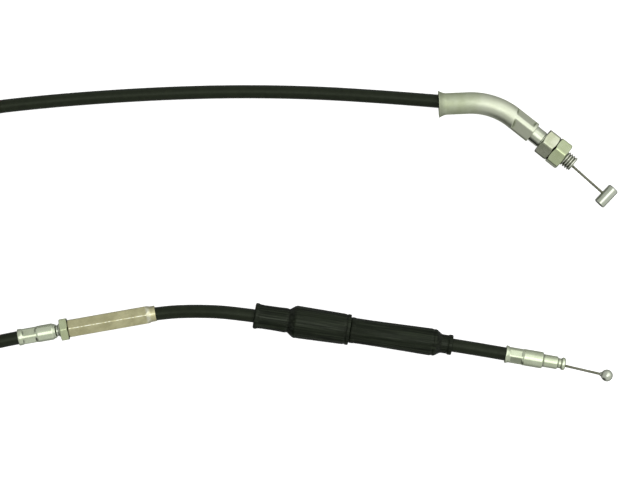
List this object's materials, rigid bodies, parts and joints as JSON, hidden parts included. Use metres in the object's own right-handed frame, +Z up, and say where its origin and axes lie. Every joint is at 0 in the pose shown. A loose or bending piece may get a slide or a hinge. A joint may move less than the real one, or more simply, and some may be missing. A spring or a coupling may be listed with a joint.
{
  "type": "throttle cable",
  "caption": "Motorcycle throttle cable with bent steel elbow, screw adjusters, rubber boot, and barrel and ball nipples.",
  "frame": {"origin": "on the surface the cable lies on, under the middle of its fittings (coil and loose conduit left out)", "axes": "+X from the adjusters towards both nipples, +Y towards the elbow, +Z up"},
  "size_m": [0.3036, 0.1108, 0.0122],
  "materials": {
    "elbow_steel": "satin zinc plate, drawn along the tube",
    "stud_steel": "zinc plate, rolled thread",
    "nut_steel": "zinc plate, faintly yellow",
    "ferrule_steel": "bright zinc plate, crimped",
    "barrel_steel": "matte olive-tan passivated zinc",
    "jam_nut_steel": "zinc plate",
    "wire_steel": "lightly oiled stranded steel",
    "nipple_zinc": "bright die cast",
    "sheath": "black extruded sheath",
    "winding_steel": "flat steel winding",
    "liner_plastic": "natural plastic",
    "boot_rubber": "matte moulded rubber",
    "tie_nylon": "black nylon"
  },
  "bodies": {
    "root": {"elbow_tube": "elbow_steel", "elbow_guide_tube": "liner_plastic", "elbow_seat_washer": "ferrule_steel", "threaded_stud": "stud_steel", "conduit_upper_run": "sheath", "conduit_coil": "sheath", "conduit_return_run": "sheath", "coil_ties": "tie_nylon", "adjuster_ferrule": "ferrule_steel", "adjuster_screw": "stud_steel"},
    "throttle_wire": {"inner_wire_upper": "wire_steel", "barrel_nipple": "nipple_zinc"},
    "inner_lock_nut": {"lock_nut_inner": "nut_steel"},
    "outer_lock_nut": {"lock_nut_outer": "nut_steel"},
    "mid_run": {"conduit_mid_sheath": "sheath", "conduit_mid_winding": "winding_steel", "conduit_mid_liner": "liner_plastic", "mid_seat_washer": "ferrule_steel", "joiner_ferrule": "ferrule_steel", "joiner_screw": "stud_steel"},
    "adjuster_barrel": {"hex_barrel": "barrel_steel"},
    "adjuster_jam_nut": {"jam_nut": "jam_nut_steel"},
    "end_run": {"conduit_end_sheath": "sheath", "conduit_end_winding": "winding_steel", "conduit_end_liner": "liner_plastic", "end_seat_washer": "ferrule_steel", "end_ferrule": "ferrule_steel"},
    "boot_barrel": {"joiner_barrel": "barrel_steel"},
    "boot_jam_nut": {"joiner_jam_nut": "jam_nut_steel"},
    "left_boot": {"boot_left": "boot_rubber"},
    "right_boot": {"boot_right": "boot_rubber"},
    "carburettor_wire": {"inner_wire_lower": "wire_steel", "ball_nipple": "nipple_zinc"}
  },
  "joints": [
    {"name": "throttle_pull", "type": "slide", "parent": "root", "child": "throttle_wire", "axis": [0.7478, -0.6639, 0], "range_m": [-0.012, 0.012]},
    {"name": "inner_nut_travel", "type": "slide", "parent": "root", "child": "inner_lock_nut", "axis": [0.7859, -0.6184, 0], "range_m": [0, 0.0001]},
    {"name": "outer_nut_travel", "type": "slide", "parent": "root", "child": "outer_lock_nut", "axis": [0.7859, -0.6184, 0], "range_m": [0, 0.0042]},
    {"name": "adjuster_travel", "type": "slide", "parent": "root", "child": "mid_run", "axis": [0.9848, 0.1736, 0], "range_m": [0, 0.012]},
    {"name": "adjuster_barrel_turn", "type": "hinge", "parent": "mid_run", "child": "adjuster_barrel", "pos_m": [-0.08213, -0.03239, 0.00462], "axis": [0.9848, 0.1736, 0], "range_deg": [0, 5400.2]},
    {"name": "jam_nut_travel", "type": "slide", "parent": "mid_run", "child": "adjuster_jam_nut", "axis": [0.9848, 0.1736, 0], "range_m": [-0.0012, 0]},
    {"name": "boot_adjuster_travel", "type": "slide", "parent": "mid_run", "child": "end_run", "axis": [0.9887, -0.1481, -0.0209], "range_m": [0, 0.008]},
    {"name": "boot_barrel_turn", "type": "hinge", "parent": "end_run", "child": "boot_barrel", "pos_m": [0.01857, -0.03567, 0.00564], "axis": [0.9887, -0.1481, -0.0209], "range_deg": [0, 3600.2]},
    {"name": "boot_jam_nut_travel", "type": "slide", "parent": "end_run", "child": "boot_jam_nut", "axis": [0.9887, -0.1481, -0.0209], "range_m": [-0.0012, 0]},
    {"name": "left_boot_slide", "type": "slide", "parent": "mid_run", "child": "left_boot", "axis": [-0.9887, 0.1481, 0.0209], "range_m": [0, 0.011]},
    {"name": "right_boot_slide", "type": "slide", "parent": "end_run", "child": "right_boot", "axis": [0.9887, -0.1481, -0.0209], "range_m": [0, 0.017]},
    {"name": "carburettor_pull", "type": "slide", "parent": "end_run", "child": "carburettor_wire", "axis": [0.974, -0.2256, -0.0209], "range_m": [-0.012, 0.012]}
  ],
  "couplings": [
    {"joint": "carburettor_pull", "follows": "throttle_pull", "ratio": -1},
    {"joint": "adjuster_barrel_turn", "follows": "adjuster_travel", "rad_per_m": 7854},
    {"joint": "boot_barrel_turn", "follows": "boot_adjuster_travel", "rad_per_m": 7854}
  ]
}
